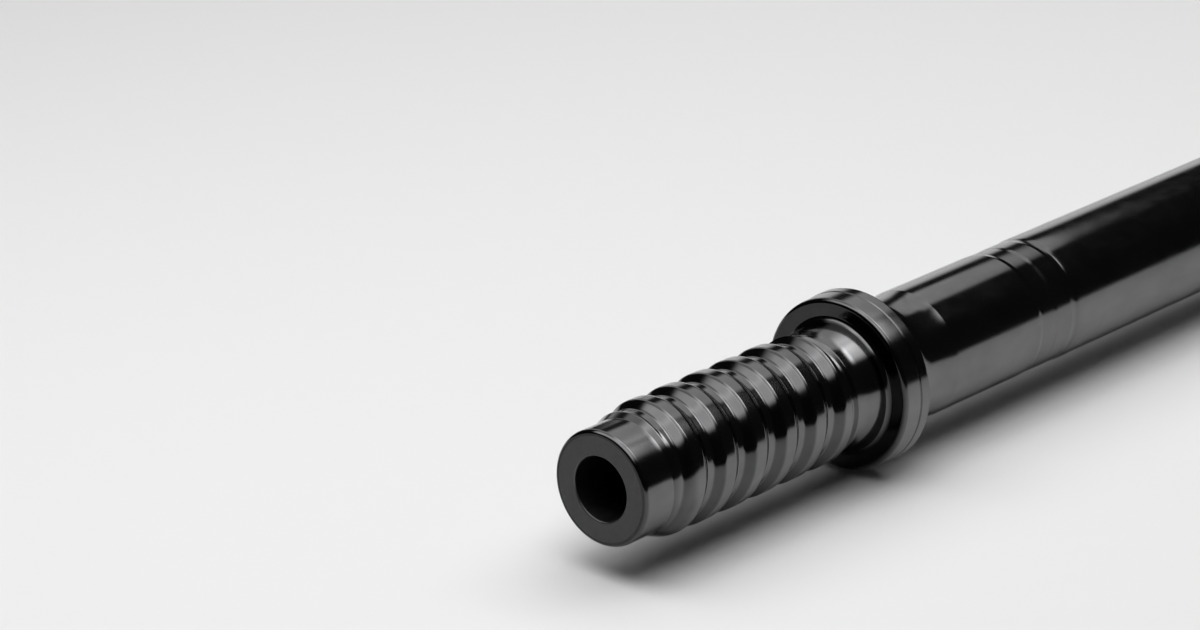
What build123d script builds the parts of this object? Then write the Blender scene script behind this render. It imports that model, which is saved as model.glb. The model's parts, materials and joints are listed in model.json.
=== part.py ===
"""Top hammer drill rod: one steel bar with a threaded male end and a threaded socket.

The rod lies along X, in millimetres, and +Z is up. X = 0 is the face of the socket, where
the next rod is seated, and the threaded male end points to +X. The male shoulder's seating
face is at X = working_length. Both ends carry the same left-hand rope thread.
"""
import os
from math import radians, tan

from build123d import *

# Bar
bar_diameter = 60.0
working_length = 1220.0          # socket face to the male shoulder's seating face
flush_hole_diameter = 29.0       # water or air hole through the whole rod
edge_break = 0.6                 # chamfer at the mouths of the hole and of the socket
cutter_margin = 0.25             # cutters run this far past a surface they open onto

# Rope thread, left hand, shared by the male end and the socket
thread_diameter = 60.0
thread_depth = 3.0
thread_pitch = 20.0
thread_crest_flat = 7.0
thread_flank_angle = 35.0        # measured from the rod axis
thread_ridge_offset = 1.7        # seating face to a ridge centre line, on the +Z side
thread_clearance = 0.4           # the socket thread is this much larger, all round

# Male end. Lengths start at the shoulder's seating face, drops at the thread's crest.
male_length = 156.6
guide_length = 20.1
guide_drop = 0.9
guide_chamfer = 0.7
guide_lead_length = 5.0          # its front end slopes down to help the socket on
guide_lead_drop = 0.8
relief_width = 4.5
relief_gap = 0.2                 # the relief is this far under the thread root
seat_fillet = 3.8
nose_length = 17.4
nose_drop = 4.0
nose_chamfer = 1.2
lead_angle = 20.0

# Inside of the socket, lengths measured from the socket face
counterbore_gap = 2.4            # from the thread's crest to the counterbore
counterbore_depth = 24.0
counterbore_cone_angle = 30.0
thread_end_gap = 2.8             # from a seated thread's last turn to the relief
socket_relief_width = 8.0
socket_relief_gap = 0.5          # the relief is this far outside the thread root
nose_end_gap = 3.4               # room left in front of a seated male end
drill_point_angle = 45.0

# Outside of the socket. Each length starts where the one before it ends.
sleeve_height = 11.7             # over the bar, as are the heights and drops below
sleeve_length = 165.0
sleeve_mouth_chamfer_length = 3.6
sleeve_mouth_chamfer_depth = 1.7
sleeve_edge_radius = 3.0
sleeve_back_angle = 45.0
sleeve_back_fillet = 21.0
socket_neck_height = 2.7
socket_neck_length = 75.0
socket_neck_drop_length = 12.0
socket_neck_drop_radius = 16.0
socket_weld_drop = 0.65
socket_weld_length = 20.0
weld_bead_width = 2.4            # the bead is halfway along the socket's weld
weld_bead_height = 0.35
socket_weld_rise_length = 9.0
socket_weld_band_length = 4.6
weld_band_height = 0.25
turned_step = 0.9                # length of the small turned steps

# Shoulder and neck behind the male end. Each length starts where the one before it ends.
shoulder_front_drop = 2.0        # under the socket's sleeve
shoulder_back_drop = 1.1
shoulder_width = 16.2
shoulder_edge_chamfer = 1.0
shoulder_back_fillet = 10.5      # or as much as fits on the shoulder's back wall
shoulder_back_flat = 0.4         # left between that fillet and the edge's chamfer
rim_line_from_face = 10.4
rim_line_width = 1.6
rim_line_depth = 0.5
male_waist_drop = 1.5            # under the bar, as are the drops below
male_waist_length = 35.4
male_neck_drop = 0.6
male_neck_length = 60.6
male_weld_drop = 1.0
male_weld_length = 11.3
male_weld_rise_length = 7.5
male_weld_band_length = 7.0
male_bar_groove_drop = 0.3
male_bar_groove_length = 3.0

# Radii worked out from the sizes above
bar_r = bar_diameter / 2
hole_r = flush_hole_diameter / 2
crest_r = thread_diameter / 2
root_r = crest_r - thread_depth
core_r = (hole_r + root_r) / 2
relief_r = root_r - relief_gap
guide_r = crest_r - guide_drop
guide_front_r = guide_r - guide_lead_drop
nose_r = crest_r - nose_drop
minor_r = root_r + thread_clearance
major_r = crest_r + thread_clearance
socket_relief_r = major_r + socket_relief_gap
counterbore_r = crest_r + counterbore_gap
sleeve_r = bar_r + sleeve_height
shoulder_front_r = sleeve_r - shoulder_front_drop
shoulder_back_r = sleeve_r - shoulder_back_drop
weld_band_r = bar_r + weld_band_height
socket_neck_r = bar_r + socket_neck_height
socket_weld_r = bar_r - socket_weld_drop
male_weld_r = bar_r - male_weld_drop
male_bar_groove_r = bar_r - male_bar_groove_drop
male_neck_r = bar_r - male_neck_drop
male_waist_r = bar_r - male_waist_drop

# Places on the male end
seat_x = working_length
male_end_x = seat_x + male_length
nose_x = male_end_x - nose_length
lead_slope = tan(radians(lead_angle))
lead_length = (crest_r - nose_r) / lead_slope
guide_x = seat_x + guide_length
thread_x = guide_x + relief_width

# Places behind the male end, from the shoulder back to the bar
shoulder_back_x = seat_x - shoulder_width
male_waist_x = shoulder_back_x - male_waist_length
male_neck_x = male_waist_x - male_neck_length
male_weld_x = male_neck_x - male_weld_length
male_weld_rise_x = male_weld_x - male_weld_rise_length
male_weld_band_x = male_weld_rise_x - male_weld_band_length
male_bar_groove_x = male_weld_band_x - male_bar_groove_length
rim_line_x = seat_x - rim_line_from_face
rim_slope = (shoulder_back_r - shoulder_front_r) / shoulder_width
rim_line_r = shoulder_front_r + rim_slope * rim_line_from_face
shoulder_back_wall = shoulder_back_r - shoulder_edge_chamfer - male_waist_r
shoulder_fillet_r = min(shoulder_back_fillet, shoulder_back_wall - shoulder_back_flat)

# Places outside the socket, from the face back to the bar
neck_x = sleeve_length + (sleeve_r - socket_neck_r) / tan(radians(sleeve_back_angle))
socket_neck_x = neck_x + socket_neck_length
neck_drop_x = socket_neck_x + socket_neck_drop_length
weld_bead_x = neck_drop_x + socket_weld_length / 2
socket_weld_x = neck_drop_x + socket_weld_length
socket_weld_rise_x = socket_weld_x + socket_weld_rise_length
socket_weld_band_x = socket_weld_rise_x + socket_weld_band_length

# Places inside the socket
counterbore_cone_x = counterbore_depth + (counterbore_r - minor_r) / tan(
    radians(counterbore_cone_angle)
)
socket_relief_x = male_length - nose_length + thread_end_gap
socket_relief_end = socket_relief_x + socket_relief_width
socket_bottom = male_length + nose_end_gap
drill_point_x = socket_bottom + (minor_r - hole_r) / tan(radians(drill_point_angle))

# Half sections of the two thread grooves, from the floor out: distance from the groove's
# centre line, and radius.
flank_slope = tan(radians(thread_flank_angle))
male_floor_half = (thread_pitch - thread_crest_flat) / 2 - thread_depth / flank_slope
male_groove_half = [
    (male_floor_half, root_r),
    (male_floor_half + (thread_depth + cutter_margin) / flank_slope, crest_r + cutter_margin),
]
socket_floor_half = thread_crest_flat / 2 + thread_clearance - thread_clearance / flank_slope
socket_groove_half = [
    (socket_floor_half, major_r),
    (socket_floor_half + (thread_depth + cutter_margin) / flank_slope, minor_r - cutter_margin),
]


def corner(sketch, x, r):
    """The corner of a profile nearest to a place along and off the axis."""
    return sketch.vertices().sort_by_distance((x, r, 0))[0]


def groove(first_x, last_x, half_section):
    """Helical groove between two thread ridges, as the solid that is cut away.

    Its centre line runs from first_x, on the +Z side, to last_x, and its section is the
    half section on both sides of that line.
    """
    section = [(first_x - half, r) for half, r in reversed(half_section)]
    section += [(first_x + half, r) for half, r in half_section]
    with BuildPart() as cutter:
        with BuildSketch(Plane.XZ):
            with BuildLine():
                Polyline(*section, close=True)
            make_face()
        with BuildLine():
            Helix(
                pitch=thread_pitch,
                height=last_x - first_x,
                radius=crest_r,
                center=(first_x, 0, 0),
                direction=(1, 0, 0),
                lefthand=True,
            )
        sweep(is_frenet=True)
    return cutter.part


# Both grooves start a full pitch before the thread and end past it. The male groove lies
# half a pitch from the ridge's centre line, and the socket's takes that ridge.
male_groove_x = seat_x + thread_ridge_offset - thread_pitch / 2
male_groove = groove(male_groove_x, nose_x + thread_pitch / 2, male_groove_half)
socket_groove = groove(
    thread_ridge_offset - thread_pitch, socket_relief_end + thread_pitch, socket_groove_half
)

# Male thread: a plain band with the groove cut along it, then turned to a flat end at the
# relief and to the lead-in cone at the nose.
with BuildPart() as male_thread:
    with BuildSketch(Plane.XZ):
        with BuildLine():
            Polyline(
                (male_groove_x - thread_pitch, core_r),
                (male_groove_x - thread_pitch, crest_r),
                (male_end_x + thread_pitch, crest_r),
                (male_end_x + thread_pitch, core_r),
                close=True,
            )
        make_face()
    revolve(axis=Axis.X)
    add(male_groove, mode=Mode.SUBTRACT)
    with BuildSketch(Plane.XZ):
        with BuildLine():
            Polyline(
                (thread_x, core_r - thread_depth),
                (thread_x, crest_r + thread_depth),
                (nose_x - lead_length - thread_depth / lead_slope, crest_r + thread_depth),
                (nose_x + thread_depth, nose_r - thread_depth * lead_slope),
                (nose_x + thread_depth, core_r - thread_depth),
                close=True,
            )
        make_face()
    revolve(axis=Axis.X, mode=Mode.INTERSECT)

# Socket thread cutter: starts in the counterbore and runs out in the relief.
with BuildPart() as socket_thread:
    add(socket_groove)
    with BuildSketch(Plane.XZ):
        with BuildLine():
            Polyline(
                (counterbore_depth / 2, 0),
                (counterbore_depth / 2, counterbore_r),
                ((socket_relief_x + socket_relief_end) / 2, counterbore_r),
                ((socket_relief_x + socket_relief_end) / 2, 0),
                close=True,
            )
        make_face()
    revolve(axis=Axis.X, mode=Mode.INTERSECT)

# Socket cutter: counterbore, thread bore, relief, room for the nose, and drill point.
with BuildPart() as socket_bore:
    with BuildSketch(Plane.XZ):
        with BuildLine():
            Polyline(
                (0, 0),
                (0, counterbore_r + edge_break),
                (edge_break, counterbore_r),
                (counterbore_depth, counterbore_r),
                (counterbore_cone_x, minor_r),
                (socket_relief_x, minor_r),
                (socket_relief_x, socket_relief_r),
                (socket_relief_end, socket_relief_r),
                (socket_relief_end, minor_r),
                (socket_bottom, minor_r),
                (drill_point_x, hole_r),
                (drill_point_x, 0),
                close=True,
            )
        make_face()
    revolve(axis=Axis.X)

with BuildPart() as drill_rod:
    # Turned outside of the whole rod, from the nose back to the socket, round the hole.
    with BuildSketch(Plane.XZ) as turned:
        with BuildLine():
            Polyline(
                (male_end_x, hole_r),
                (male_end_x, nose_r - nose_chamfer),
                (male_end_x - nose_chamfer, nose_r),
                (nose_x - lead_length / 2, nose_r),
                (nose_x - lead_length / 2, relief_r),
                (guide_x + guide_chamfer, relief_r),
                (guide_x, guide_front_r - guide_chamfer),
                (guide_x - guide_chamfer, guide_front_r),
                (guide_x - guide_lead_length, guide_r),
                (seat_x, guide_r),
                (seat_x, shoulder_front_r),
                (rim_line_x + rim_line_width / 2, rim_line_r - rim_slope * rim_line_width / 2),
                (rim_line_x, rim_line_r - rim_line_depth),
                (rim_line_x - rim_line_width / 2, rim_line_r + rim_slope * rim_line_width / 2),
                (shoulder_back_x, shoulder_back_r),
                (shoulder_back_x, male_waist_r),
                (male_waist_x, male_waist_r),
                (male_waist_x - turned_step, male_neck_r),
                (male_neck_x, male_neck_r),
                (male_neck_x - turned_step, male_weld_r),
                (male_weld_x, male_weld_r),
                (male_weld_rise_x, weld_band_r),
                (male_weld_band_x, weld_band_r),
                (male_weld_band_x - turned_step, male_bar_groove_r),
                (male_bar_groove_x, male_bar_groove_r),
                (male_bar_groove_x - turned_step, bar_r),
                (socket_weld_band_x + turned_step, bar_r),
                (socket_weld_band_x, weld_band_r),
                (socket_weld_rise_x, weld_band_r),
                (socket_weld_x, socket_weld_r),
                (weld_bead_x + weld_bead_width / 2, socket_weld_r),
                (weld_bead_x, socket_weld_r + weld_bead_height),
                (weld_bead_x - weld_bead_width / 2, socket_weld_r),
                (neck_drop_x, socket_weld_r),
                (socket_neck_x, socket_neck_r),
                (neck_x, socket_neck_r),
                (sleeve_length, sleeve_r),
                (sleeve_mouth_chamfer_length, sleeve_r),
                (0, sleeve_r - sleeve_mouth_chamfer_depth),
                (0, hole_r),
                close=True,
            )
        make_face()
        fillet(corner(turned, seat_x, guide_r), radius=seat_fillet)
        chamfer(
            [
                corner(turned, seat_x, shoulder_front_r),
                corner(turned, shoulder_back_x, shoulder_back_r),
            ],
            length=shoulder_edge_chamfer,
        )
        fillet(corner(turned, shoulder_back_x, male_waist_r), radius=shoulder_fillet_r)
        fillet(corner(turned, sleeve_length, sleeve_r), radius=sleeve_edge_radius)
        fillet(corner(turned, neck_x, socket_neck_r), radius=sleeve_back_fillet)
        fillet(corner(turned, neck_drop_x, socket_weld_r), radius=socket_neck_drop_radius)
        chamfer(corner(turned, male_end_x, hole_r), length=edge_break)
    revolve(axis=Axis.X)
    add(male_thread.part)
    add(socket_bore.part, mode=Mode.SUBTRACT)
    add(socket_thread.part, mode=Mode.SUBTRACT)

os.makedirs("parts", exist_ok=True)
drill_rod.part.label = "drill_rod"
export_step(drill_rod.part, "parts/drill_rod.step")
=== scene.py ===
"""Looks of the top hammer drill rod: one skin of oil-blackened steel, in metres.

The rod lies along X as its solid does, with the socket's face at X = 0 and the threaded
male end towards +X. The skin follows the solid, with its corners rounded as turning leaves
them and with the rounded roots and crests of the rope thread. It adds the taper of the guide
and the shallow waist, neck and weld grooves behind the shoulder.
"""

import json
from math import cos, pi, radians, sin, tan

import bpy
import numpy as np
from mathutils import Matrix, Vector


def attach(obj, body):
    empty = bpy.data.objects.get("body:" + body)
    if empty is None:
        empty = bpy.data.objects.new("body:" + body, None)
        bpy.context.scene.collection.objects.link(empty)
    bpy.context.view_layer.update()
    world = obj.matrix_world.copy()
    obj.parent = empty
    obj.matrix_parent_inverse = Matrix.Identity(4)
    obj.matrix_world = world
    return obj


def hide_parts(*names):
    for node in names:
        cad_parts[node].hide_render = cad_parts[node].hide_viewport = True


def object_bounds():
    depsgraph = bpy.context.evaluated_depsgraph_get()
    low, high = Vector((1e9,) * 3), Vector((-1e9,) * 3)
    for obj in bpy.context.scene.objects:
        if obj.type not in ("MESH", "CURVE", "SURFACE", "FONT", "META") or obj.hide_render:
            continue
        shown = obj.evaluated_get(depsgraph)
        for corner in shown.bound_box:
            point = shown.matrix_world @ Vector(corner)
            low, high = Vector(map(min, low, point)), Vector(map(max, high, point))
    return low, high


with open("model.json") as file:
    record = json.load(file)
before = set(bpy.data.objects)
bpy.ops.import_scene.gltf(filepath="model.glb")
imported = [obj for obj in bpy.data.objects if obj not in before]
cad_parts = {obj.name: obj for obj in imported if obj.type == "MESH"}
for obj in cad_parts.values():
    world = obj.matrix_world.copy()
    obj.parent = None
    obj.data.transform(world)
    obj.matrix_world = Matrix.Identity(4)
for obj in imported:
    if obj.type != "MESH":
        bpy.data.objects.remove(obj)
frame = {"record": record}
cad_low, cad_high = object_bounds()

# Sizes that the frame gives
mounts = {mount["name"]: mount for mount in frame["record"]["mounts"]}
male_end_x = cad_high.x
sleeve_r = cad_high.z
seat_x = mounts["shoulder_face"]["pos_m"][0]
hole_r = mounts["flush_hole"]["dims"]["r_mm"] / 1000
crest_r = mounts["male_thread"]["dims"]["r_mm"] / 1000
major_r = mounts["socket_thread"]["dims"]["r_mm"] / 1000
counterbore_r = mounts["socket_counterbore"]["dims"]["r_mm"] / 1000

# Bar, and the small roundings that turning leaves
bar_r = 0.030
edge_break = 0.0006
fine_edge = 0.0003
soft_edge = 0.0005
turned_step = 0.0009

# Rope thread, left hand
thread_pitch = 0.020
thread_depth = 0.003
crest_flat = 0.007
flank_angle = radians(35)
crest_radius = 0.003
root_radius = 0.0022
ridge_offset = 0.0017            # seating face to a ridge's centre line, on the +Z side
thread_clearance = major_r - crest_r
thread_end_edge = 0.0004         # rounding where the thread ends in a flat wall

# Male end
guide_length = 0.0201
guide_rise = 0.0003              # at the seating face, over the crests
guide_taper_length = 0.014       # from there it tapers, and then runs on level
guide_drop = 0.0018              # under the crests, on that level part
guide_fairing = 0.033            # radius of the long curve between the two
guide_chamfer = 0.0013
relief_width = 0.0045
relief_gap = 0.0002
seat_fillet = 0.0027
nose_length = 0.0174
nose_drop = 0.004
nose_chamfer = 0.0012
nose_edge = 0.0026
nose_face_edge = 0.0012
lead_angle = radians(20)
lead_edge = 0.0008               # width over which crest and lead-in cone blend

# Shoulder and neck behind it. Each length starts where the one before it ends.
shoulder_front_drop = 0.002
shoulder_back_drop = 0.0011
shoulder_width = 0.0162
shoulder_edge = 0.0013
shoulder_front_edge = 0.0024
shoulder_back_lean = 0.005       # how far the back wall leans over its height
shoulder_back_fillet = 0.0175    # from that wall down to the waist
rim_line_from_face = 0.0104
rim_line_width = 0.0012
rim_line_depth = 0.0004
male_waist_drop = 0.00062        # under the bar, as are the drops below
male_waist_length = 0.0343
neck_rise_length = 0.0055        # from the waist up to the neck
neck_rise_fairing = 0.105        # radius of the long curve at its foot
male_neck_drop = 0.00015
male_neck_length = 0.061
male_weld_step = 0.0022          # neck down to the groove beside the weld
male_weld_drop = 0.00045
male_weld_length = 0.0095
male_weld_rise_length = 0.0022   # groove up to the weld band
male_band_drop = 0.0003
male_band_length = 0.0102
male_band_step = 0.002           # band down to the groove beside the bar
male_bar_groove_drop = 0.00045
male_bar_groove_length = 0.0016
male_bar_rise_length = 0.0034    # groove up to the bar
weld_step_edge = 0.006

# Outside of the socket. Each length starts where the one before it ends.
sleeve_length = 0.165
mouth_chamfer_length = 0.0036
mouth_chamfer_depth = 0.0017
mouth_edge = 0.003
sleeve_edge = 0.003
sleeve_back_angle = radians(45)
sleeve_back_fillet = 0.021
socket_neck_height = 0.0027
socket_neck_length = 0.075
socket_neck_edge = 0.002
neck_drop_length = 0.012
neck_drop_radius = 0.016
socket_weld_drop = 0.00065
socket_weld_length = 0.020
weld_bead_width = 0.0024
weld_bead_height = 0.00035
socket_weld_rise_length = 0.009
socket_weld_band_length = 0.0046
weld_band_height = 0.00025
weld_rise_edge = 0.006

# Inside of the socket
counterbore_depth = 0.024
counterbore_cone_angle = radians(30)
thread_end_gap = 0.0028
socket_relief_width = 0.008
socket_relief_gap = 0.0005
nose_end_gap = 0.0034
drill_point_angle = radians(45)

# Share of the full painted shade by how far a surface faces along the rod, as the sine of its
# slope.
# It darkens flanks and faces to stand in for dark reflections, and spares crests and the plain
# outside.
painted_shade_by_slope = ([0.08, 0.5, 0.7, 0.95], [0, 0.64, 0.64, 1])
painted_shade_strength = 0.75             # how much of the steel's brightness it takes away

# Span of a cloudy pattern over which a finish runs from its low to its high value
cloud_low = 0.3
cloud_high = 0.7

# How finely the skin is divided
columns = 96                     # round the rod
male_thread_step = 0.00025
socket_thread_step = 0.0006
bar_rows = 41                    # along the plain bar
arc_pieces = 5                   # in each rounded corner
thread_arc_pieces = 24           # in those of the thread's section, which the rings then sample
ring_gap = 0.0003                # between the rings that keep a face flat beside its edge

# Light panels, which stand round the rod at this distance from its axis. Each row gives the
# range of angles above +Y in degrees, the range along X, the brightness that a reflection
# of it shows, and the shares of its length and width over which it fades at its edges.
panel_distance = 1.5
panels = {
    "top_panel": (85, 143, -0.45, 2.4, 0.88, (0.05, 0.2)),
    "top_back_panel": (93, 143, -0.74, -0.31, 0.88, (0.33, 0.2)),
    "top_front_panel": (92, 146, 1.3, 2.5, 1.9, (0.2, 0.25)),
    "side_panel": (50, 124, -0.12, 0.85, 1.2, (0.3, 0.45)),
    "side_core": (50, 92, -0.1, 0.5, 3.9, (0.5, 0.35)),
    "side_glow": (50, 112, -0.1, 0.6, 1.2, (0.5, 0.5)),
    "side_middle": (50, 112, 0.3, 1.75, 1.8, (0.15, 0.3)),
    "side_front_panel": (50, 104, 1.4, 2.5, 2.9, (0.2, 0.25)),
    "far_panel": (134, 178, 0.0, 0.75, 0.75, (0.25, 0.3)),
    "back_panel": (152, 192, -1.6, -0.05, 0.9, (0.05, 0.35)),
}

# Places and radii worked out from these sizes
root_r = crest_r - thread_depth
minor_r = root_r + thread_clearance
relief_r = root_r - relief_gap
guide_r = crest_r - guide_drop
nose_r = crest_r - nose_drop
nose_x = male_end_x - nose_length
guide_x = seat_x + guide_length
thread_x = guide_x + relief_width
socket_relief_x = nose_x - seat_x + thread_end_gap
socket_relief_end = socket_relief_x + socket_relief_width
socket_bottom = male_end_x - seat_x + nose_end_gap


def rounded(corners, pieces=arc_pieces):
    """A turned outline as two arrays, x and r.

    Each corner is (x, r, radius). A corner with a radius becomes a circular arc that
    touches both of its sides, divided evenly by angle, and one without stays sharp.
    """
    spots = np.array([corner[:2] for corner in corners])
    parts = [spots[:1]]
    for before, spot, after, corner in zip(spots, spots[1:], spots[2:], corners[1:-1]):
        back = (before - spot) / np.linalg.norm(before - spot)
        onward = (after - spot) / np.linalg.norm(after - spot)
        half = np.arccos(np.clip(back @ onward, -1, 1)) / 2
        radius = corner[2]
        if radius == 0:
            parts.append(spot[None])
            continue
        centre = spot + radius / np.sin(half) * (back + onward) / np.linalg.norm(back + onward)
        start = spot + back * radius / np.tan(half) - centre
        end = spot + onward * radius / np.tan(half) - centre
        sweep = pi - 2 * half
        share = np.linspace(0, 1, pieces + 1)[:, None]
        arc = (np.sin((1 - share) * sweep) * start + np.sin(share * sweep) * end) / np.sin(sweep)
        parts.append(centre + arc)
    parts.append(spots[-1:])
    line = np.concatenate(parts)
    return line[:, 0], line[:, 1]


def turned(corners):
    """Rings of a turned surface: the rounded outline, the same all the way round."""
    x, r = rounded(corners)
    return np.repeat(x[:, None], columns, 1), np.repeat(r[:, None], columns, 1)


def thread_section(half_width, first_r, first_radius, second_r, second_radius):
    """Half of a thread's section from a ridge's centre line, as distance and radius.

    It is level for a half width, then follows the flank, and is level again.
    """
    flank_length = abs(second_r - first_r) / tan(flank_angle)
    corners = [
        (0, first_r, 0),
        (half_width, first_r, first_radius),
        (half_width + flank_length, second_r, second_radius),
        (thread_pitch / 2, second_r, 0),
    ]
    return rounded(corners, thread_arc_pieces)


def thread_radius(x, around, section):
    """Radius of the left-hand thread at x and at an angle from +Z towards +Y.

    A ridge's centre line moves one pitch along +X in each whole turn. The distance to the
    nearest one is looked up in the section.
    """
    along = x - seat_x - ridge_offset - thread_pitch * around / (2 * pi)
    nearest = np.abs((along + thread_pitch / 2) % thread_pitch - thread_pitch / 2)
    return np.interp(nearest, *section)


def blend_lower(first, second, width):
    """The lower of two surfaces, with a round corner where they cross."""
    share = np.clip(0.5 + (second - first) / (2 * width), 0, 1)
    return second + (first - second) * share - width * share * (1 - share)


def male_thread_rings(around):
    """Rings from the nose back to the thread's flat end.

    The radius is the lower of the thread and of the lead-in cone, which rises from the
    nose. The last rings turn the corner onto the flat end wall.
    """
    section = thread_section(crest_flat / 2, crest_r, crest_radius, root_r, root_radius)
    x = np.arange(nose_x, thread_x + thread_end_edge, -male_thread_step)[:, None]
    cone = nose_r + (nose_x - x) * tan(lead_angle)
    r = blend_lower(thread_radius(x, around, section), cone, lead_edge)
    wall = thread_radius(np.full((1, 1), thread_x), around, section)
    edge = np.minimum(thread_end_edge, (wall - relief_r) / 2)
    turn = np.linspace(0, pi / 2, arc_pieces)[:, None]
    edge_x = thread_x + edge * (1 - np.sin(turn))
    edge_r = wall - edge * (1 - np.cos(turn))
    return np.concatenate([x + 0 * around, edge_x]), np.concatenate([r, edge_r])


def socket_thread_rings(around):
    """Rings from the counterbore to the relief: the higher of the cone and the thread.

    The socket's thread is the male thread moved out by the clearance, seated face to face.
    """
    half_width = crest_flat / 2 + thread_clearance - thread_clearance / tan(flank_angle)
    section = thread_section(half_width, major_r, root_radius, minor_r, crest_radius)
    x = np.arange(counterbore_depth, socket_relief_x, socket_thread_step)[:, None]
    cone = np.maximum(
        counterbore_r - (x - counterbore_depth) * tan(counterbore_cone_angle), minor_r
    )
    thread = thread_radius(x + seat_x, around, section)
    return x + 0 * around, -blend_lower(-thread, -cone, lead_edge / 2)


def shoulder_and_neck():
    """Outline from the thread's end over guide, shoulder and neck to the bar."""
    front_r = sleeve_r - shoulder_front_drop
    back_r = sleeve_r - shoulder_back_drop
    back_x = seat_x - shoulder_width
    rim_x = seat_x - rim_line_from_face
    rim_slope = (back_r - front_r) / shoulder_width
    rim_r = front_r + rim_slope * rim_line_from_face
    rim_half = rim_line_width / 2
    waist_x = back_x - male_waist_length
    neck_x = waist_x - male_neck_length
    step_x = neck_x - male_weld_step
    weld_x = step_x - male_weld_length
    rise_x = weld_x - male_weld_rise_length
    band_x = rise_x - male_band_length
    groove_x = band_x - male_band_step
    groove_end = groove_x - male_bar_groove_length
    waist_r = bar_r - male_waist_drop
    neck_r = bar_r - male_neck_drop
    weld_r = bar_r - male_weld_drop
    band_r = bar_r - male_band_drop
    groove_r = bar_r - male_bar_groove_drop
    return [
        (thread_x, relief_r, 0),
        (guide_x + guide_chamfer, relief_r, soft_edge),
        (guide_x, guide_r - guide_chamfer, soft_edge),
        (guide_x - guide_chamfer, guide_r, soft_edge),
        (seat_x + guide_taper_length, guide_r, guide_fairing),
        (seat_x, crest_r + guide_rise, seat_fillet),
        (seat_x, front_r, shoulder_front_edge),
        (rim_x + rim_half, rim_r - rim_slope * rim_half, fine_edge),
        (rim_x, rim_r - rim_line_depth, fine_edge),
        (rim_x - rim_half, rim_r + rim_slope * rim_half, fine_edge),
        (back_x, back_r, shoulder_edge),
        (back_x - shoulder_back_lean, waist_r, shoulder_back_fillet),
        (waist_x + neck_rise_length, waist_r, neck_rise_fairing),
        (waist_x, neck_r, soft_edge),
        (neck_x, neck_r, weld_step_edge),
        (step_x, weld_r, weld_step_edge),
        (weld_x, weld_r, weld_step_edge),
        (rise_x, band_r, weld_step_edge),
        (band_x, band_r, weld_step_edge),
        (groove_x, groove_r, weld_step_edge),
        (groove_end, groove_r, weld_step_edge),
        (groove_end - male_bar_rise_length, bar_r, 0),
    ]


def bar_rings(around):
    """Rings of the plain bar between its two welds, evenly spaced inside their ends."""
    x = np.linspace(shoulder_and_neck()[-1][0], sleeve_and_neck()[0][0], bar_rows)[1:-1, None]
    return x + 0 * around, bar_r + 0 * x + 0 * around


def sleeve_and_neck():
    """Outline from the bar over the weld, neck and sleeve of the socket to its face."""
    neck_r = bar_r + socket_neck_height
    weld_r = bar_r - socket_weld_drop
    band_r = bar_r + weld_band_height
    neck_x = sleeve_length + (sleeve_r - neck_r) / tan(sleeve_back_angle)
    neck_end = neck_x + socket_neck_length
    drop_x = neck_end + neck_drop_length
    bead_x = drop_x + socket_weld_length / 2
    weld_x = drop_x + socket_weld_length
    rise_x = weld_x + socket_weld_rise_length
    band_x = rise_x + socket_weld_band_length
    return [
        (band_x + turned_step, bar_r, 0),
        (band_x, band_r, fine_edge),
        (rise_x, band_r, weld_rise_edge),
        (weld_x, weld_r, weld_rise_edge),
        (bead_x + weld_bead_width / 2, weld_r, soft_edge),
        (bead_x, weld_r + weld_bead_height, soft_edge),
        (bead_x - weld_bead_width / 2, weld_r, soft_edge),
        (drop_x, weld_r, neck_drop_radius),
        (neck_end, neck_r, socket_neck_edge),
        (neck_x, neck_r, sleeve_back_fillet),
        (sleeve_length, sleeve_r, sleeve_edge),
        (mouth_chamfer_length, sleeve_r, mouth_edge),
        (0, sleeve_r - mouth_chamfer_depth, 0),
    ]


def socket_end():
    """Outline from the thread relief to the bottom of the socket and into the hole."""
    relief_wall = major_r + socket_relief_gap
    return [
        (socket_relief_x, relief_wall, 0),
        (socket_relief_end, relief_wall, fine_edge),
        (socket_relief_end, minor_r, fine_edge),
        (socket_bottom, minor_r, fine_edge),
        (socket_bottom + (minor_r - hole_r) / tan(drill_point_angle), hole_r, 0),
    ]


def rod_runs(around):
    """The rod's surface as runs of rings, each with the finish it starts in.

    They follow each other from the nose face over the outside to the socket's face, then
    inside the socket and through the flushing hole back to the nose.
    """
    mouth_r = counterbore_r + edge_break
    nose_face_r = hole_r + edge_break
    nose_face = [(male_end_x, nose_face_r, 0), (male_end_x, nose_face_r + ring_gap, 0)]
    nose = [
        (male_end_x, nose_r - nose_chamfer - nose_face_edge, 0),
        (male_end_x, nose_r - nose_chamfer, nose_face_edge),
        (male_end_x - nose_chamfer, nose_r, nose_edge),
        (nose_x + nose_edge, nose_r, 0),
    ]
    socket_face = [(0, sleeve_r - mouth_chamfer_depth - ring_gap, 0), (0, mouth_r, 0)]
    counterbore = [
        (edge_break, counterbore_r, 0),
        (counterbore_depth - ring_gap, counterbore_r, 0),
    ]
    hole_mouth = [
        (male_end_x - edge_break, hole_r, 0),
        (male_end_x - fine_edge, hole_r + fine_edge, 0),
    ]
    return [
        ("faced", turned(nose_face)),
        ("turned", turned(nose)),
        ("turned", male_thread_rings(around)),
        ("turned", turned(shoulder_and_neck())),
        ("rolled", bar_rings(around)),
        ("turned", turned(sleeve_and_neck())),
        ("faced", turned(socket_face)),
        ("bored", turned(counterbore)),
        ("bored", socket_thread_rings(around)),
        ("bored", turned(socket_end())),
        ("bored", turned(hole_mouth)),
    ]


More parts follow.
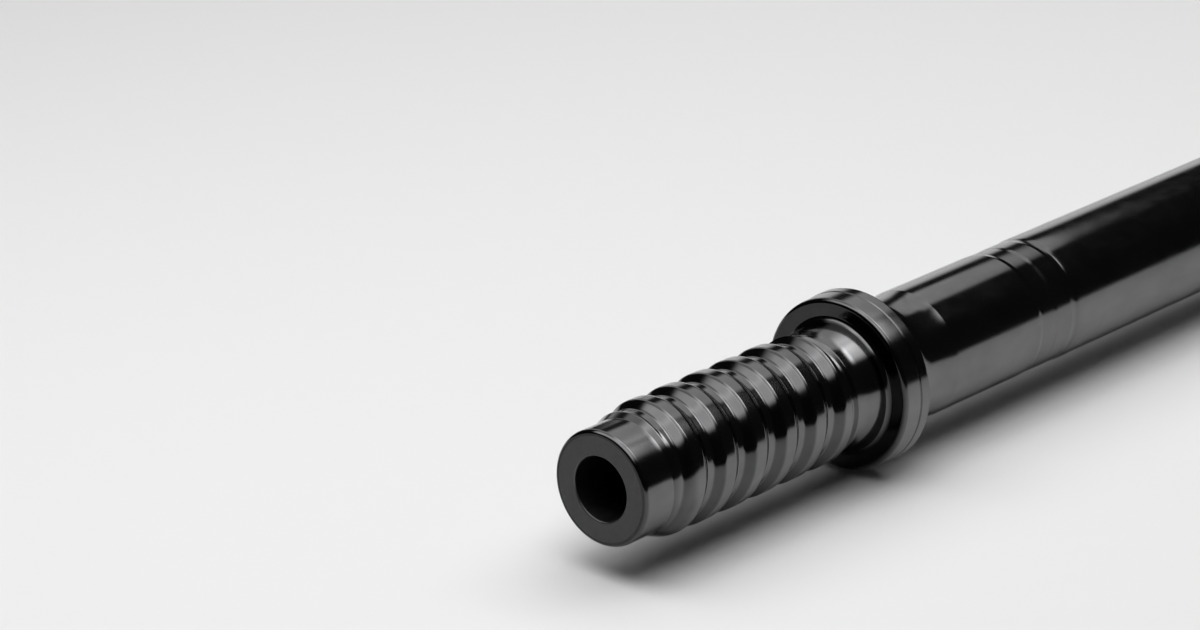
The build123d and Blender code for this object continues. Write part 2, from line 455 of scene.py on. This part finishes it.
def rod_skin(finishes):
    """The whole rod as one closed grid of rings and columns.

    A point is (x, r sin a, r cos a), with a the angle from +Z towards +Y. The grid closes
    round the rod and from the last ring to the first. Each point's normal is the sum of
    the four faces round it, each by its area, so wide faces stay flat beside fine edges.
    An attribute of painted shade, which darkens thread flanks and faces, is looked up from how
    far that normal turns along the rod.
    """
    around = np.arange(columns)[None, :] * 2 * pi / columns
    runs = rod_runs(around)
    x = np.concatenate([rings[0] for _, rings in runs])
    r = np.concatenate([rings[1] for _, rings in runs])
    names = list(finishes)
    row_finish = np.concatenate([[names.index(name)] * len(rings[0]) for name, rings in runs])
    points = np.stack([x, r * np.sin(around), r * np.cos(around)], -1)
    ring_count = len(points)
    index = np.arange(ring_count * columns).reshape(ring_count, columns)
    next_ring = np.roll(index, -1, 0)
    faces = np.stack([index, next_ring, np.roll(next_ring, -1, 1), np.roll(index, -1, 1)], -1)
    first = np.roll(np.roll(points, -1, 0), -1, 1) - points
    second = np.roll(points, -1, 1) - np.roll(points, -1, 0)
    areas = np.cross(first, second)
    normals = areas + np.roll(areas, 1, 0) + np.roll(areas, 1, 1)
    normals += np.roll(np.roll(areas, 1, 0), 1, 1)
    normals /= np.linalg.norm(normals, axis=-1, keepdims=True)
    mesh = bpy.data.meshes.new("rod_skin")
    mesh.from_pydata(points.reshape(-1, 3).tolist(), [], faces.reshape(-1, 4).tolist())
    for finish in finishes.values():
        mesh.materials.append(finish)
    mesh.polygons.foreach_set("material_index", np.repeat(row_finish, columns))
    mesh.polygons.foreach_set("use_smooth", np.ones(ring_count * columns, bool))
    mesh.normals_split_custom_set_from_vertices(normals.reshape(-1, 3).tolist())
    # Painted shade, stronger the more a surface faces along the rod
    blacking = np.interp(np.abs(normals[..., 0]), *painted_shade_by_slope)
    kept = mesh.attributes.new("blacking", "FLOAT", "POINT")
    kept.data.foreach_set("value", blacking.ravel())
    skin = bpy.data.objects.new("rod_skin", mesh)
    bpy.context.scene.collection.objects.link(skin)
    return skin


class Finish:
    """A steel finish: its shader, and the patterns on object coordinates that vary it."""

    def __init__(self, name, color, roughness):
        self.material = bpy.data.materials.new(name)
        self.material.use_nodes = True
        self.nodes = self.material.node_tree.nodes
        self.links = self.material.node_tree.links
        self.shader = self.nodes["Principled BSDF"]
        self.shader.inputs["Base Color"].default_value = (*color, 1)
        self.shader.inputs["Metallic"].default_value = 1
        self.shader.inputs["Roughness"].default_value = roughness
        self.place = self.nodes.new("ShaderNodeTexCoord").outputs["Object"]
        self.normal = None

    def noise(self, per_metre, detail=2.0):
        """Cloudy pattern from 0 to 1, with so many spots per metre along x, y and z."""
        stretch = self.nodes.new("ShaderNodeMapping")
        stretch.inputs["Scale"].default_value = per_metre
        cloud = self.nodes.new("ShaderNodeTexNoise")
        cloud.inputs["Scale"].default_value = 1
        cloud.inputs["Detail"].default_value = detail
        self.links.new(self.place, stretch.inputs["Vector"])
        self.links.new(stretch.outputs["Vector"], cloud.inputs["Vector"])
        return cloud.outputs["Fac"]

    def vary(self, socket, pattern, low, high):
        """Lets a number on the shader run from low to high with a pattern."""
        spread = self.nodes.new("ShaderNodeMapRange")
        spread.inputs["From Min"].default_value = cloud_low
        spread.inputs["From Max"].default_value = cloud_high
        spread.inputs["To Min"].default_value = low
        spread.inputs["To Max"].default_value = high
        self.links.new(pattern, spread.inputs["Value"])
        self.links.new(spread.outputs["Result"], self.shader.inputs[socket])

    def tint(self, pattern, dark, light):
        """Lets the colour run from dark to light with a pattern, dimmed by painted shade on
        flanks.
        """
        ramp = self.nodes.new("ShaderNodeValToRGB")
        ramp.color_ramp.elements[0].position = cloud_low
        ramp.color_ramp.elements[0].color = (*dark, 1)
        ramp.color_ramp.elements[1].position = cloud_high
        ramp.color_ramp.elements[1].color = (*light, 1)
        # The attribute read here is painted shade, which dims the colour of flanks and faces
        black = self.nodes.new("ShaderNodeAttribute")
        black.attribute_name = "blacking"
        left = self.nodes.new("ShaderNodeMapRange")
        left.inputs["To Min"].default_value = 1
        left.inputs["To Max"].default_value = 1 - painted_shade_strength
        dimmed = self.nodes.new("ShaderNodeVectorMath")
        dimmed.operation = "SCALE"
        self.links.new(pattern, ramp.inputs["Fac"])
        self.links.new(black.outputs["Fac"], left.inputs["Value"])
        self.links.new(ramp.outputs["Color"], dimmed.inputs[0])
        self.links.new(left.outputs["Result"], dimmed.inputs["Scale"])
        self.links.new(dimmed.outputs["Vector"], self.shader.inputs["Base Color"])

    def relief(self, pattern, height):
        """Raises the surface by a pattern, up to a height in metres."""
        bump = self.nodes.new("ShaderNodeBump")
        bump.inputs["Strength"].default_value = 1
        bump.inputs["Distance"].default_value = height
        self.links.new(pattern, bump.inputs["Height"])
        if self.normal:
            self.links.new(self.normal, bump.inputs["Normal"])
        self.normal = bump.outputs["Normal"]
        self.links.new(self.normal, self.shader.inputs["Normal"])


def turned_steel():
    """Glossy blackened steel with faint turning rings and cloudy oil."""
    finish = Finish("turned_steel", (0.15, 0.15, 0.153), 0.17)
    oil = finish.noise((90, 140, 140), detail=3)
    clouds = finish.noise((60, 90, 90), detail=4)
    rings = finish.noise((900, 25, 25), detail=1)
    finish.vary("Roughness", oil, low=0.10, high=0.14)
    finish.tint(clouds, dark=(0.135, 0.135, 0.138), light=(0.165, 0.165, 0.168))
    finish.relief(rings, height=6e-7)
    return finish.material


def rolled_steel():
    """The bar's skin: the same black, with the fine orange peel of hot rolling."""
    finish = Finish("rolled_steel", (0.15, 0.15, 0.153), 0.19)
    oil = finish.noise((120, 220, 220), detail=3)
    clouds = finish.noise((40, 90, 90), detail=4)
    peel = finish.noise((900, 1000, 1000), detail=1)
    finish.vary("Roughness", oil, low=0.11, high=0.15)
    finish.tint(clouds, dark=(0.13, 0.13, 0.133), light=(0.165, 0.165, 0.168))
    finish.relief(peel, height=6e-6)
    return finish.material


def faced_steel():
    """Matt end faces, with a fine grain."""
    finish = Finish("faced_steel", (0.075, 0.075, 0.077), 0.5)
    handling = finish.noise((500, 500, 500), detail=3)
    grain = finish.noise((1500, 1500, 1500), detail=2)
    finish.vary("Roughness", handling, low=0.46, high=0.56)
    finish.relief(grain, height=6e-6)
    return finish.material


def bored_steel():
    """Walls of the hole and socket, dull, with the drill's rings."""
    finish = Finish("bored_steel", (0.10, 0.10, 0.102), 0.36)
    scale = finish.noise((300, 200, 200), detail=3)
    rings = finish.noise((700, 12, 12), detail=1)
    finish.vary("Roughness", scale, low=0.32, high=0.44)
    finish.relief(rings, height=2.5e-5)
    return finish.material


def floor():
    """A plain pale floor under the rod's lowest line, wide enough for every view."""
    half = 30
    corners = [(-half, -half), (half, -half), (half, half), (-half, half)]
    mesh = bpy.data.meshes.new("floor")
    mesh.from_pydata([(x, y, cad_low.z) for x, y in corners], [], [(0, 1, 2, 3)])
    pale = bpy.data.materials.new("pale_floor")
    pale.use_nodes = True
    shader = pale.node_tree.nodes["Principled BSDF"]
    shader.inputs["Base Color"].default_value = (0.76, 0.76, 0.76, 1)
    shader.inputs["Roughness"].default_value = 0.9
    shader.inputs["Specular IOR Level"].default_value = 0.2
    mesh.materials.append(pale)
    ground = bpy.data.objects.new("floor", mesh)
    bpy.context.scene.collection.objects.link(ground)


def fade_edges(lamp, along_fade, across_fade):
    """Lets a light rise smoothly from its edges, over these shares of its two sides.

    The brightness is the product of two smooth steps of the distance from the edges.
    """
    lamp.use_nodes = True
    nodes = lamp.node_tree.nodes
    links = lamp.node_tree.links
    place = nodes.new("ShaderNodeSeparateXYZ")
    links.new(nodes.new("ShaderNodeNewGeometry").outputs["Parametric"], place.inputs["Vector"])
    shares = []
    for side, fade in (("X", along_fade), ("Y", across_fade)):
        from_middle = nodes.new("ShaderNodeMath")
        from_middle.operation = "SUBTRACT"
        from_middle.inputs[1].default_value = 0.5
        distance = nodes.new("ShaderNodeMath")
        distance.operation = "ABSOLUTE"
        rise = nodes.new("ShaderNodeMapRange")
        rise.interpolation_type = "SMOOTHSTEP"
        rise.inputs["From Min"].default_value = 0.5
        rise.inputs["From Max"].default_value = 0.5 - fade
        links.new(place.outputs[side], from_middle.inputs[0])
        links.new(from_middle.outputs[0], distance.inputs[0])
        links.new(distance.outputs[0], rise.inputs["Value"])
        shares.append(rise.outputs["Result"])
    strength = nodes.new("ShaderNodeMath")
    strength.operation = "MULTIPLY"
    links.new(shares[0], strength.inputs[0])
    links.new(shares[1], strength.inputs[1])
    links.new(strength.outputs[0], nodes["Emission"].inputs["Strength"])


def panel(name, first_angle, last_angle, first_x, last_x, radiance, fades):
    """A flat soft light along X, turned towards the rod, that covers a range of angles.

    Its width is twice the distance times the tangent of half that range, and its power is
    pi times its area times the brightness that a reflection of it shows.
    """
    angle = radians(first_angle + last_angle) / 2
    width = 2 * panel_distance * tan(radians(last_angle - first_angle) / 2)
    length = last_x - first_x
    lamp = bpy.data.lights.new(name, "AREA")
    lamp.shape = "RECTANGLE"
    lamp.size = length
    lamp.size_y = width
    lamp.energy = pi * length * width * radiance
    fade_edges(lamp, *fades)
    holder = bpy.data.objects.new(name, lamp)
    holder.location = (
        (first_x + last_x) / 2, panel_distance * cos(angle), panel_distance * sin(angle)
    )
    holder.rotation_euler = (angle - pi / 2, 0, 0)
    holder.visible_camera = False
    bpy.context.scene.collection.objects.link(holder)


def overhead_light():
    """Even soft light on the floor, which the steel shows only by way of the floor."""
    sky = bpy.data.lights.new("overhead", "SUN")
    sky.energy = 0.12
    sky.angle = radians(50)
    holder = bpy.data.objects.new("overhead", sky)
    holder.rotation_euler = (radians(-8), radians(6), 0)
    holder.visible_glossy = False
    bpy.context.scene.collection.objects.link(holder)


def studio():
    """The floor, the panels that draw bands along the steel, and a dim room."""
    floor()
    overhead_light()
    for name, row in panels.items():
        panel(name, *row)
    room = bpy.data.worlds.new("room")
    room.use_nodes = True
    room.node_tree.nodes["Background"].inputs["Color"].default_value = (1, 1, 1, 1)
    room.node_tree.nodes["Background"].inputs["Strength"].default_value = 0.015
    bpy.context.scene.world = room
    bpy.context.scene.view_settings.view_transform = "Standard"


def camera():
    """The photograph's view: from in front of the nose, to the side and above."""
    azimuth = radians(41.99)
    elevation = radians(21.235)
    distance = 1.92517
    aim = Vector((male_end_x - 0.03791, -0.03418, 0.05884))
    level = cos(elevation)
    back = Vector((cos(azimuth) * level, sin(azimuth) * level, sin(elevation)))
    lens = bpy.data.cameras.new("camera")
    lens.lens = 135.516
    lens.sensor_width = 36
    lens.clip_start = 0.01
    lens.clip_end = 100
    viewer = bpy.data.objects.new("camera", lens)
    viewer.location = aim + back * distance
    viewer.rotation_euler = back.to_track_quat("Z", "Y").to_euler()
    bpy.context.scene.collection.objects.link(viewer)
    bpy.context.scene.camera = viewer


finishes = {
    "turned": turned_steel(),
    "rolled": rolled_steel(),
    "faced": faced_steel(),
    "bored": bored_steel(),
}
skin = rod_skin(finishes)
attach(skin, "root")
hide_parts("drill_rod")
studio()
camera()
